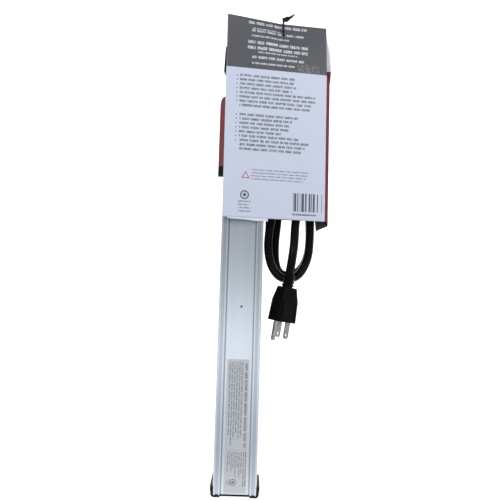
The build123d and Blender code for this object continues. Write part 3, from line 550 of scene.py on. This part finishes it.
class Finish(Enum):
    """Every finish of the object."""

    # Painted shade: strips darken the extrusion's grooves and outer edges and the panel's edge gutters, where
    # shadow falls
    EXTRUSION = DrawnAluminium("anodised_extrusion", painted_shade_strips=((17.0, 20.7, 0.24), (22.3, 26.0, 0.2)))
    PANEL = DrawnAluminium("anodised_panel", (0.68, 0.735, 0.79), (0.28, 0.36), ((13.9, 19.0, 0.52),),
                           (-1.4, -47.8))
    LABEL = RatingFoil()
    CAP = Moulded("cap_plastic", (0.008, 0.008, 0.009), (0.45, 0.6), relief=0.2, specular=0.2)
    OUTLET = Moulded("outlet_plastic", (0.026, 0.026, 0.030), (0.38, 0.52), relief=0.15)
    PHENOLIC = Moulded("switch_phenolic", (0.018, 0.018, 0.02), (0.22, 0.34), coat=0.3)
    ROCKER = Moulded("rocker_red", (0.50, 0.012, 0.010), (0.12, 0.2), coat=0.6, transmission=0.25, slow=90.0)
    LAMP = Moulded("lamp_glass", (0.95, 0.78, 0.62), (0.04, 0.08), transmission=0.9, relief=0.01)
    BRASS = Moulded("rolled_brass", (0.70, 0.50, 0.20), (0.25, 0.4), metallic=1.0, slow=120.0)
    NICKEL = Moulded("nickel_plate", (0.56, 0.55, 0.50), (0.22, 0.36), metallic=1.0, slow=150.0, tone=0.2)
    PRONG = Moulded("dull_prong_plate", (0.30, 0.30, 0.29), (0.16, 0.32), metallic=1.0, slow=170.0, tone=0.45)
    STEEL = Moulded("zinc_plate", (0.52, 0.53, 0.55), (0.25, 0.4), metallic=1.0, slow=200.0, tone=0.2)
    BOARD = Moulded("board_laminate", (0.03, 0.16, 0.06), (0.3, 0.42), coat=0.2)
    VARISTOR = Moulded("varistor_epoxy", (0.02, 0.07, 0.32), (0.2, 0.3), coat=0.4, slow=300.0)
    NYLON = Moulded("natural_nylon", (0.72, 0.71, 0.66), (0.35, 0.5))
    LEAD_BLACK = Moulded("lead_black", (0.02, 0.02, 0.02), (0.3, 0.42))
    LEAD_WHITE = Moulded("lead_white", (0.75, 0.75, 0.72), (0.3, 0.42))
    LEAD_GREEN = Moulded("lead_green", (0.02, 0.22, 0.05), (0.3, 0.42))
    JACKET = Moulded("cord_jacket", (0.002, 0.002, 0.0025), (0.16, 0.26), slow=140.0, tone=0.3, relief=0.12,
                     specular=0.1)
    VINYL = Moulded("plug_vinyl", (0.002, 0.002, 0.0025), (0.16, 0.26), slow=110.0, tone=0.3, relief=0.2,
                    specular=0.06)
    TIE = Moulded("tie_coating", (0.005, 0.005, 0.005), (0.3, 0.45), specular=0.2)
    CARD_BACK = PrintedBack()
    CARD_WRAP = PrintedWrap()
    CARD_FLAP = Moulded("card_flap", (0.73, 0.76, 0.86), (0.5, 0.65), slow=35.0, fine=900.0, specular=0.3)
    # Painted shade: the sleeve's inner faces are dark grey for the shadow inside it, though the raw card is
    # pale
    SHADED_CARD_INSIDE = Moulded("card_inside_painted_shade", (0.035, 0.035, 0.048), (0.5, 0.65), slow=35.0, fine=900.0,
                        specular=0.3)


class Paintbox:
    """Builds each finish once and hands it out."""

    def __init__(self) -> None:
        """Makes the shared effects."""
        self.effects = Effects()
        self.built: dict[Finish, bpy.types.Material] = {}

    def get(self, finish: Finish) -> bpy.types.Material:
        """The material of a finish, built the first time it is asked for."""
        if finish not in self.built:
            self.built[finish] = finish.value.build(self.effects)
        return self.built[finish]

    def dress(self, finish: Finish, *nodes: str) -> None:
        """Gives CAD nodes a finish."""
        for node in nodes:
            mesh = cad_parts[node].data
            mesh.materials.clear()
            mesh.materials.append(self.get(finish))
            LOG.info("dressed %s with %s", node, finish.value.name)


# -------------------------------------------------------------------- meshes
def grid_faces(rows: int, columns: int, first: int = 0) -> np.ndarray:
    """Quads of a grid whose vertices run along its columns first.

    Returns:
        An array of quads, each wound from a vertex along its row and then up.
    """
    corner = first + np.arange(rows - 1)[:, None] * columns + np.arange(columns - 1)[None, :]
    return np.stack([corner, corner + 1, corner + columns + 1, corner + columns], axis=-1).reshape(-1, 4)


def linked(name: str, data: bpy.types.ID) -> bpy.types.Object:
    """A new object that holds the data, in the scene and at the origin."""
    piece = bpy.data.objects.new(name, data)
    bpy.context.scene.collection.objects.link(piece)
    return piece


def mesh_object(name: str, points: np.ndarray, faces: np.ndarray, uv: np.ndarray | None = None,
                regions: np.ndarray | None = None) -> bpy.types.Object:
    """Makes an object from whole arrays.

    Args:
        name: the piece's name.
        points: vertices in metres, in the row frame.
        faces: quads of vertex numbers.
        uv: one pair per vertex, for the map "sheet".
        regions: the material slot of each face.

    Returns:
        The new object, at the origin.
    """
    mesh = bpy.data.meshes.new(name)
    mesh.from_pydata(points.tolist(), [], faces.tolist())
    if uv is not None:
        layer = mesh.uv_layers.new(name="sheet")
        layer.data.foreach_set("uv", uv[faces.ravel()].astype(np.float32).ravel())
    if regions is not None:
        mesh.polygons.foreach_set("material_index", regions.astype(np.int32))
    mesh.polygons.foreach_set("use_smooth", np.ones(len(faces), dtype=bool))
    mesh.update()
    return linked(name, mesh)


def tube_rings(path: np.ndarray, radius: np.ndarray, sides: int) -> np.ndarray:
    """The rings of a round tube along a path.

    Each ring stands square to the path's direction there, on two axes that are carried along by taking
    away their share along the new direction.

    Args:
        path: points of the middle line.
        radius: the tube's radius at each point.
        sides: vertices of a ring.

    Returns:
        The vertices, ring after ring.
    """
    ahead = np.gradient(path, axis=0)
    ahead /= np.linalg.norm(ahead, axis=1, keepdims=True)
    side = np.cross(ahead[0], (0.0, 1.0, 0.0))
    frames = []
    for direction in ahead:
        side = side - direction * np.dot(side, direction)
        side = side / np.linalg.norm(side)
        frames.append((side, np.cross(direction, side)))
    turn = np.linspace(0, 2 * np.pi, sides, endpoint=False)
    axes = np.array(frames)
    around = (np.cos(turn)[None, :, None] * axes[:, None, 0] + np.sin(turn)[None, :, None] * axes[:, None, 1])
    return (path[:, None] + radius[:, None, None] * around).reshape(-1, 3)


# ---------------------------------------------------------------- assemblies
@dataclass
class BarHousing:
    """The extrusion, its panel and label, the caps and their screws."""

    paint: Paintbox

    def build(self) -> None:
        """Dresses the housing's CAD nodes."""
        self.paint.dress(Finish.EXTRUSION, "housing_extrusion")
        self.paint.dress(Finish.PANEL, "rear_panel")
        self.paint.dress(Finish.LABEL, "rating_label")
        self.paint.dress(Finish.CAP, "end_cap_top", "end_cap_bottom")
        self.paint.dress(Finish.STEEL, "end_cap_screws", "ground_screw")


@dataclass
class PowerFittings:
    """Outlets, buses, switch, breaker, surge board and leads."""

    paint: Paintbox
    outlets: int = 6

    def build(self) -> None:
        """Dresses the electrical CAD nodes."""
        dress = self.paint.dress
        dress(Finish.OUTLET, *(f"outlet_{number}" for number in range(1, self.outlets + 1)))
        dress(Finish.BRASS, "line_bus", "neutral_bus", "ground_bus", "switch_contact_lever")
        dress(Finish.PHENOLIC, "switch_housing", "breaker_body")
        dress(Finish.ROCKER, "switch_rocker")
        dress(Finish.LAMP, "switch_lamp")
        dress(Finish.STEEL, "switch_pivot", "board_screws")
        dress(Finish.NICKEL, "switch_terminals", "breaker_terminals", "breaker_nut", "thermal_fuse")
        dress(Finish.NYLON, "breaker_button", "board_standoffs")
        dress(Finish.BOARD, "surge_board")
        dress(Finish.VARISTOR, "varistors")
        dress(Finish.LEAD_BLACK, "line_leads")
        dress(Finish.LEAD_WHITE, "neutral_lead")
        dress(Finish.LEAD_GREEN, "ground_leads")


@dataclass
class PowerCord:
    """The folded cord, its relief and its plug."""

    paint: Paintbox
    diameter: float = 9.7
    length: float = 925.7
    route: tuple[tuple[float, float, float], ...] = (
        (-47, -19, 226), (-61, -19, 226), (-74, -20, 216), (-81.5, -21.5, 197),
        (-82, -23, 160), (-80, -24, 110), (-76, -24, 67), (-76.5, -24, 30),
        (-74.5, -24, 6), (-63.5, -24, -14), (-45.5, -24, -16.5), (-34, -24, -4.5),
        (-29, -24, 15), (-29.5, -24, 36), (-33.5, -23.5, 57), (-38, -23.5, 77),
        (-49, -26, 92), (-65, -32, 88), (-74.5, -34.5, 71), (-77, -34.5, 48),
        (-77.5, -34.5, 27), (-74.5, -34.5, 6), (-62.5, -34.5, -10.5), (-45.5, -34.5, -12),
        (-38, -34.5, 0), (-37, -34.5, 26), (-40.5, -35, 56), (-40, -35.5, 98),
        (-37, -35, 139), (-40, -34, 165), (-52, -27.5, 177), (-66, -19, 169),
        (-71.5, -14.5, 148), (-70, -14, 114), (-63, -14.5, 76), (-58.5, -14, 47),
        (-58, -13, 24), (-55.57, -10, 5.22), (-53.2, -10, -10.6),
    )

    def curve(self) -> bpy.types.Object:
        """The cord as a quadratic NURBS curve with a round bevel."""
        data = bpy.data.curves.new("power_cord_line", "CURVE")
        data.dimensions = "3D"
        data.bevel_depth = self.diameter / 2 * MM
        data.bevel_resolution = 7
        data.resolution_u = 10
        data.use_fill_caps = True
        spline = data.splines.new("NURBS")
        spline.points.add(len(self.route) - 1)
        for point, place in zip(spline.points, self.route):
            point.co = (*(value * MM for value in place), 1.0)
        spline.order_u = 3
        spline.use_endpoint_u = True
        spline.use_smooth = True
        return linked("power_cord_line", data)

    def build(self) -> None:
        """Lays the cord and dresses what is on it."""
        plug_nodes = ["plug_body", "plug_line_blade", "plug_neutral_blade", "plug_ground_pin"]
        self.paint.dress(Finish.VINYL, "strain_relief", "plug_body")
        self.paint.dress(Finish.PRONG, *plug_nodes[1:])
        piece = self.curve()
        piece.data.materials.append(self.paint.get(Finish.JACKET))
        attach(piece, BAR)
        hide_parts("power_cord")
        LOG.info("laid %s", piece.name)


@dataclass
class CardSleeve:
    """The folded card round the bar and the cord, with its header; millimetres."""

    paint: Paintbox
    back_left: tuple[float, float] = (22.5, 8.5)
    back_right: tuple[float, float] = (-91.0, -9.0)
    front_right: tuple[float, float] = (-99.0, -43.0)
    front_left: tuple[float, float] = (32.0, -43.0)
    thickness: float = 0.5
    fold: float = 217.0
    header_rise: float = 61.0
    bottom: float = 48.5
    band_top: float = 188.5
    hole: tuple[float, float] = (63.3, 264.0)
    hole_radius: float = 2.6
    column: float = 1.6

    @property
    def corners(self) -> np.ndarray:
        """The plan of the wrap, from the back's left edge round to it again."""
        end = (self.back_left[0] + 0.4, self.back_left[1] - 0.7)
        return np.array([self.back_left, self.back_right, self.front_right, self.front_left, end])

    @property
    def stations(self) -> np.ndarray:
        """Distance round the wrap of each corner of the plan."""
        steps = np.linalg.norm(np.diff(self.corners, axis=0), axis=1)
        return np.concatenate([[0.0], np.cumsum(steps)])

    def plan(self, q: np.ndarray) -> np.ndarray:
        """Where the wrap is at distance q round it.

        The corners are joined by straight lines, softened by a running mean over two millimetres, and
        the two sides bow outwards by a half sine.
        """
        marks, corners = self.stations, self.corners
        soft = np.linspace(-1.0, 1.0, 7)
        place = np.stack([np.interp(np.clip(q[:, None] + soft, 0, marks[-1]), marks, corners[:, axis]).mean(1)
                          for axis in (0, 1)], axis=1)
        for low, high, reach in ((marks[1], marks[2], -1.6), (marks[3], marks[4], 1.2)):
            share = np.clip((q - low) / (high - low), 0, 1)
            place[:, 0] += reach * np.sin(np.pi * share)
        return place

    def edge_heights(self, q: np.ndarray) -> tuple[np.ndarray, np.ndarray]:
        """The wrap's bottom and top heights at q, as straight stretches between its die-cut corners."""
        _, right, front, left, end = self.stations
        step = 0.02
        low = [(0, self.bottom), (right, self.bottom), (right + 2, 50.6), (front, 48.0), (front + 9, 44.1),
               (front + 13.5, 41.8), (front + 15, 54), (front + 55.5, 54), (front + 55.5 + step, 40),
               (front + 73, 40), (front + 73 + step, 104), (left, 104), (end, 93.5)]
        high = [(0, self.fold), (front + 66, self.fold), (front + 73, 164), (front + 113, 164),
                (front + 121, self.band_top), (left, self.band_top + 2.5), (left + 20, self.band_top + 1.5),
                (left + 38, self.band_top - 1.8), (end, self.band_top - 6)]
        return tuple(np.interp(q, *np.array(line, dtype=float).T) for line in (low, high))

    def wrap_columns(self) -> np.ndarray:
        """Distances round the wrap at which it has columns of vertices."""
        _, right, front, left, end = self.stations
        back = self.back_columns()
        cuts = front + np.array([0, 9, 13.5, 15, 55.5, 55.52, 66, 73, 73.02, 113, 121])
        rest = np.arange(right + self.column, end, self.column)
        return np.unique(np.concatenate([back, rest, cuts, [left, end]]).round(4))

    def back_columns(self) -> np.ndarray:
        """Distances from the left edge of the back sheet's columns."""
        width = self.stations[1]
        return np.linspace(0, width, int(width / self.column) + 1)

    def spread_left(self, s: np.ndarray, z: np.ndarray) -> np.ndarray:
        """How far the back's left edge stands out at height z: a share of the height that fades with s."""
        return 0.0058 * (z - self.bottom) * np.clip(1 - s / 15, 0, 1)

    def header_back(self, s: np.ndarray, h: np.ndarray) -> np.ndarray:
        """The header's outer face.

        At distance s from the left edge and height h above the fold, it leans forward by
        lean(s) * (h / rise) ** power(s): hardly at the left, where the bar holds it upright, and evenly
        beyond the bar.
        """
        kink, width = 59.0, self.stations[1]
        lean = np.interp(s, [0, kink, width], [0, 9.4, 8.5])
        power = np.interp(s, [0, 46, kink, width], [3, 3, 1.6, 1.0])
        base = self.plan(s)
        rise = np.clip(h / self.header_rise, 0, None)
        return np.stack([base[:, 0] + self.spread_left(s, self.fold + h), base[:, 1] - lean * rise**power,
                         self.fold + h], axis=1)

    def sheet(self, s: np.ndarray, rows: np.ndarray) -> tuple[np.ndarray, np.ndarray]:
        """Repeats columns s over rows; returns both as flat arrays, row by row."""
        return np.tile(s, len(rows)), np.repeat(rows, len(s))

    def pierced(self, faces: np.ndarray, points: np.ndarray, spots: np.ndarray) -> np.ndarray:
        """Cuts the hang hole.

        Faces with their middle inside the hole go, and the corners left nearest to it move out onto its
        circle.

        Args:
            faces: quads of the sheet.
            points: vertices, changed in place.
            spots: distance along the sheet and height of each vertex.

        Returns:
            The faces that stay.
        """
        offset = spots - np.array(self.hole)
        away = np.linalg.norm(offset, axis=1)
        middle = offset[faces].mean(axis=1)
        inside = np.linalg.norm(middle, axis=1) < self.hole_radius
        rim = np.intersect1d(faces[inside].ravel(), faces[~inside].ravel())
        pull = (self.hole_radius / np.maximum(away[rim], 1e-6) - 1)[:, None] * offset[rim]
        right = self.plan(np.array([self.hole[0] + 1.0]))[0] - self.plan(np.array([self.hole[0]]))[0]
        points[rim, 0] += pull[:, 0] * right[0]
        points[rim, 1] += pull[:, 0] * right[1]
        points[rim, 2] += pull[:, 1]
        return faces[~inside]

    def wrap(self) -> tuple[np.ndarray, np.ndarray, np.ndarray, np.ndarray]:
        """The wrap: column q goes from its bottom to its top height in even steps.

        Returns:
            Vertices, faces, UV pairs and the material slot of each face.
        """
        q = self.wrap_columns()
        low, high = self.edge_heights(q)
        shares = np.linspace(0, 1, 44)
        column, share = self.sheet(q, shares)
        place = self.plan(column)
        z = np.tile(low, len(shares)) + share * np.tile(high - low, len(shares))
        place[:, 0] += self.spread_left(column, z)
        points = np.column_stack([place, z])
        faces = grid_faces(len(shares), len(q))
        uv = np.column_stack([column, z]) / 100
        regions = (column[faces].mean(axis=1) > self.stations[1]).astype(int)
        return points, faces, uv, regions

    def header(self) -> tuple[np.ndarray, np.ndarray, np.ndarray, np.ndarray]:
        """The back's header above the fold; returns as wrap does."""
        rows = np.linspace(0, self.header_rise, 40)
        s, h = self.sheet(self.back_columns(), rows)
        points = self.header_back(s, h)
        faces = self.pierced(grid_faces(len(rows), len(self.back_columns())), points,
                             np.column_stack([s, self.fold + h]))
        return points, faces, np.column_stack([s, self.fold + h + 0.01]) / 100, np.zeros(len(faces), int)

    def front_header(self) -> tuple[np.ndarray, np.ndarray, np.ndarray, np.ndarray]:
        """The front's header: a ruled sheet from the front's top edge back to the header, bowed outwards.

        Returns:
            As wrap does.
        """
        columns = np.linspace(0, 1, 42)
        rows = np.linspace(0, 1, 36)
        c, t = self.sheet(columns, rows)
        foot = np.column_stack([np.interp(c, [0, 1], [-33.0, self.front_right[0]]),
                                np.full(len(c), self.front_right[1]), np.full(len(c), self.fold)])
        s = np.interp(c, [0, 1], [56.0, self.stations[1] - 0.3])
        meet = self.header_back(s, np.full(len(s), 53.5)) - np.array([0, self.thickness + 0.25, 0])
        bow = np.sin(np.pi * t)
        points = foot + (meet - foot) * t[:, None]
        points[:, 1] -= 3.0 * bow
        points[:, 0] -= 4.2 * bow * c**3
        faces = grid_faces(len(rows), len(columns))
        return points, faces, np.column_stack([c, t]), np.full(len(faces), 1)

    def flap(self) -> tuple[np.ndarray, np.ndarray, np.ndarray, np.ndarray]:
        """The glue flap inside the back's lower edge, with a slanted foot; returns as wrap does."""
        s = np.linspace(6.0, 50.5, 24)
        rows = np.linspace(0, 1, 10)
        column, share = self.sheet(s, rows)
        low = np.interp(column, [6, 26, 37, 50.5], [46.9, 46.2, 45.2, 45.5])
        place = self.plan(column)
        z = low + share * (75.0 - low)
        points = np.column_stack([place[:, 0], place[:, 1] - self.thickness - 0.12, z])
        faces = grid_faces(len(rows), len(s))
        return points, faces, np.column_stack([column, z]) / 100, np.full(len(faces), 2)

    def build(self) -> None:
        """Joins the panels into one piece, thickens it and makes it ride on the bar."""
        points, faces, uv, regions, count = [], [], [], [], 0
        for part in (self.wrap(), self.header(), self.front_header(), self.flap()):
            points.append(part[0])
            faces.append(part[1] + count)
            uv.append(part[2])
            regions.append(part[3])
            count += len(part[0])
        piece = mesh_object("printed_card_sleeve", np.concatenate(points) * MM, np.concatenate(faces),
                            np.concatenate(uv), np.concatenate(regions))
        for finish in (Finish.CARD_BACK, Finish.CARD_WRAP, Finish.CARD_FLAP, Finish.SHADED_CARD_INSIDE):
            piece.data.materials.append(self.paint.get(finish))
        weld = piece.modifiers.new("weld", "WELD")
        weld.merge_threshold = 0.00001
        wall = piece.modifiers.new("wall", "SOLIDIFY")
        wall.thickness = self.thickness * MM
        wall.offset = -1.0
        # painted shade: the wall's offset faces take slot 3, the dark inside card that stands for shadow
        wall.material_offset = 3
        wall.material_offset_rim = 2
        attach(piece, BAR)
        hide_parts("card_sleeve")
        LOG.info("folded %s", piece.name)


@dataclass
class CardTie:
    """The coated wire tie through the header's hang hole; millimetres."""

    paint: Paintbox
    radius: float = 1.0
    sides: int = 14
    knot: tuple[float, float, float] = (-41.2, -10.0, 283.2)
    tip: tuple[float, float, float] = (-53.4, -12.5, 292.6)
    route: tuple[tuple[float, float, float], ...] = (
        (-41.0, -9.6, 284.0), (-39.9, -8.2, 280.5), (-39.6, -6.6, 275.0), (-39.8, -4.9, 268.6),
        (-40.1, -6.0, 264.4), (-40.3, -9.0, 263.0), (-40.3, -12.0, 265.6), (-40.0, -13.4, 272.0),
        (-39.8, -13.0, 278.5), (-40.9, -10.9, 283.0),
    )

    def wire(self) -> np.ndarray:
        """The wire's middle line in metres: a Catmull-Rom curve through the route.

        Between points b and c, with a before and d after, it is
        (2b + (c - a) t + (2a - 5b + 4c - d) t^2 + (3b - a - 3c + d) t^3) / 2.
        """
        anchors = np.array(self.route) * MM
        ends = np.concatenate([[2 * anchors[0] - anchors[1]], anchors, [2 * anchors[-1] - anchors[-2]]])
        t = np.linspace(0, 1, 8, endpoint=False)[:, None]
        spans = [0.5 * (2 * b + (c - a) * t + (2 * a - 5 * b + 4 * c - d) * t**2
                        + (3 * b - a - 3 * c + d) * t**3)
                 for a, b, c, d in zip(ends, ends[1:], ends[2:], ends[3:])]
        return np.concatenate([*spans, anchors[-1:]])

    def strands(self) -> list[tuple[np.ndarray, np.ndarray]]:
        """Middle line and radius of the wire, of the knot and of the two twisted tails."""
        wire = self.wire()
        turn = np.linspace(0, 4 * np.pi, 60)
        knot = np.array(self.knot) * MM + 0.0015 * np.column_stack([np.cos(turn), np.sin(turn), 0 * turn])
        knot[:, 2] += np.linspace(-0.0015, 0.0015, len(turn))
        result = [(wire, np.full(len(wire), self.radius * MM)), (knot, np.full(len(knot), 0.0012))]
        t = np.linspace(0, 1, 36)
        for side, reach in ((0.0, 1.0), (np.pi, 0.82)):
            middle = np.array(self.knot) + t[:, None] * reach * (np.array(self.tip) - np.array(self.knot))
            middle[:, 2] -= 1.6 * np.sin(np.pi * t)
            swirl = 5.0 * t + side
            away = 1.1 * (1 - t)
            middle[:, 1] += away * np.cos(swirl)
            middle[:, 2] += away * np.sin(swirl)
            radius = np.interp(t, [0, 0.2, 0.55, 1], [1.3, 2.0, 1.5, 0.3]) * MM
            result.append((middle * MM, radius))
        return result

    def faces(self, rings: int, first: int) -> list[list[int]]:
        """The faces of one tube.

        Args:
            rings: how many rings it has.
            first: the number of its first vertex; its two end middles follow its last ring.

        Returns:
            Quads round the tube and a fan of triangles on each end.
        """
        here = np.arange(self.sides)
        there = (here + 1) % self.sides
        start = first + rings * self.sides
        last = first + (rings - 1) * self.sides
        level = first + np.arange(rings - 1)[:, None] * self.sides
        quads = np.stack([level + here, level + there, level + self.sides + there,
                          level + self.sides + here], axis=-1).reshape(-1, 4)
        low = np.stack([np.full(self.sides, start), there + first, here + first], axis=1)
        high = np.stack([np.full(self.sides, start + 1), here + last, there + last], axis=1)
        return quads.tolist() + low.tolist() + high.tolist()

    def build(self) -> None:
        """Makes the wire, its knot and its tails as one piece."""
        points, faces, count = [], [], 0
        for line, radius in self.strands():
            rings = tube_rings(line, radius, self.sides)
            points += [rings, line[:1], line[-1:]]
            faces += self.faces(len(line), count)
            count += len(rings) + 2
        mesh = bpy.data.meshes.new("wire_tie")
        mesh.from_pydata(np.concatenate(points).tolist(), [], faces)
        mesh.polygons.foreach_set("use_smooth", np.ones(len(mesh.polygons), dtype=bool))
        mesh.materials.append(self.paint.get(Finish.TIE))
        piece = linked("wire_tie", mesh)
        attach(piece, BAR)
        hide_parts("card_tie")
        LOG.info("tied %s", piece.name)


@dataclass
class Studio:
    """Camera, pale seamless floor and soft lights; metres."""

    eye: tuple[float, float, float] = (-0.0103, 0.541, -0.0374)
    tipped: float = 95.39
    rolled: float = -1.65
    heading: float = 180.0
    lens: float = 36.0
    floor_gap: float = 0.0006

    def camera(self) -> None:
        """A camera whose lens is as long as its sensor is wide.

        Its place and its three angles, in degrees, are the result of a least-squares fit.
        """
        data = bpy.data.cameras.new("camera")
        data.lens = data.sensor_width = self.lens
        data.clip_start = 0.01
        camera = linked("camera", data)
        turn = Euler(np.radians((self.tipped, self.rolled, self.heading)), "XYZ").to_matrix().to_4x4()
        camera.matrix_world = Matrix.Translation(self.eye) @ turn
        bpy.context.scene.camera = camera

    def floor(self) -> None:
        """A round floor that curves up into a wall on the outlets' side, as a surface of revolution.

        Its paper glows as painted light, brighter far off and dimmer in a band between, where the paper is
        also darker, so the bright metal reflects a painted bright zone and a painted dark band.
        """
        floor_height = float(CAD_BOX[0][2]) - self.floor_gap
        cove = np.linspace(0.1, np.pi / 2, 14)
        radii = np.concatenate([np.linspace(0, 2.2, 12), 2.2 + 0.8 * np.sin(cove), [3.0]])
        rises = np.concatenate([np.zeros(12), 0.8 * (1 - np.cos(cove)), [3.2]])
        turn = np.linspace(0, 2 * np.pi, 65)
        behind = np.where(np.sin(turn) < 0.01, 1.0, 0.0)
        points = np.stack([radii[:, None] * np.cos(turn), radii[:, None] * np.sin(turn),
                           rises[:, None] * behind + floor_height], axis=-1).reshape(-1, 3)
        piece = mesh_object("studio_floor", points, grid_faces(len(radii), len(turn)))
        material, graph, shader = new_material("glowing_studio_paper")
        place = graph.add("SeparateXYZ", {0: graph.add("TexCoord").outputs["Object"]}).outputs[1]
        # Painted light: along y the glow is dimmer, and the paper darker, in a band from -0.01 m to 0.85 m on
        # the camera's side, and the glow doubles from 0.7 m to 1.1 m
        nearing = graph.calc("MULTIPLY!", graph.calc("ADD", place, 0.01), 8.0)
        leaving = graph.calc("MULTIPLY!", graph.calc("SUBTRACT", 0.85, place), 3.0)
        dim_glow_band = graph.both(nearing, leaving)
        far = graph.calc("MULTIPLY!", graph.calc("SUBTRACT", place, 0.7), 2.5)
        glow = graph.blend(far, (1.0, 1.0, 1.0), (2.0, 2.05, 2.1))
        glow = graph.blend(dim_glow_band, glow, (0.50, 0.53, 0.58))
        graph.put(shader.inputs["Base Color"], graph.blend(dim_glow_band, (0.6, 0.6, 0.6), (0.3, 0.3, 0.3)))
        shader.inputs["Roughness"].default_value = 0.9
        shader.inputs["Specular IOR Level"].default_value = 0.0
        graph.put(shader.inputs["Emission Color"], glow)
        shader.inputs["Emission Strength"].default_value = 0.9
        piece.data.materials.append(material)

    def lamp(self, name: str, place: tuple[float, float, float], size: float, power: float) -> None:
        """One square soft light that faces the origin.

        Args:
            name: the light's name.
            place: where it hangs.
            size: its side.
            power: watts.
        """
        data = bpy.data.lights.new(name, "AREA")
        data.size = size
        data.energy = power
        light = linked(name, data)
        away = np.array(place) / np.linalg.norm(place)
        side = np.cross((0.0, 0.0, 1.0), away)
        side = side / np.linalg.norm(side)
        turn = Matrix((side, np.cross(away, side), away)).transposed().to_4x4()
        light.matrix_world = Matrix.Translation(place) @ turn

    def build(self) -> None:
        """Sets up the whole studio."""
        self.camera()
        self.floor()
        self.lamp("key", (0.8, 1.4, 1.2), 1.0, 13.0)
        self.lamp("fill", (-1.2, 1.2, 1.0), 1.2, 8.0)
        self.lamp("front_side", (0.9, -1.3, 1.2), 1.2, 4.5)
        world = bpy.data.worlds.new("studio")
        world.use_nodes = True
        sky = world.node_tree.nodes["Background"].inputs
        sky["Color"].default_value = (0.9, 0.93, 1.0, 1)
        sky["Strength"].default_value = 0.25
        bpy.context.scene.world = world
        bpy.context.scene.view_settings.view_transform = "Standard"


def main() -> None:
    """Builds the studio and the object in order."""
    logging.basicConfig(level=logging.INFO, format="%(name)s: %(message)s")
    paint = Paintbox()
    Studio().build()
    PowerCord(paint).build()
    BarHousing(paint).build()
    PowerFittings(paint).build()
    CardSleeve(paint).build()
    CardTie(paint).build()


if __name__ == "__main__":
    main()
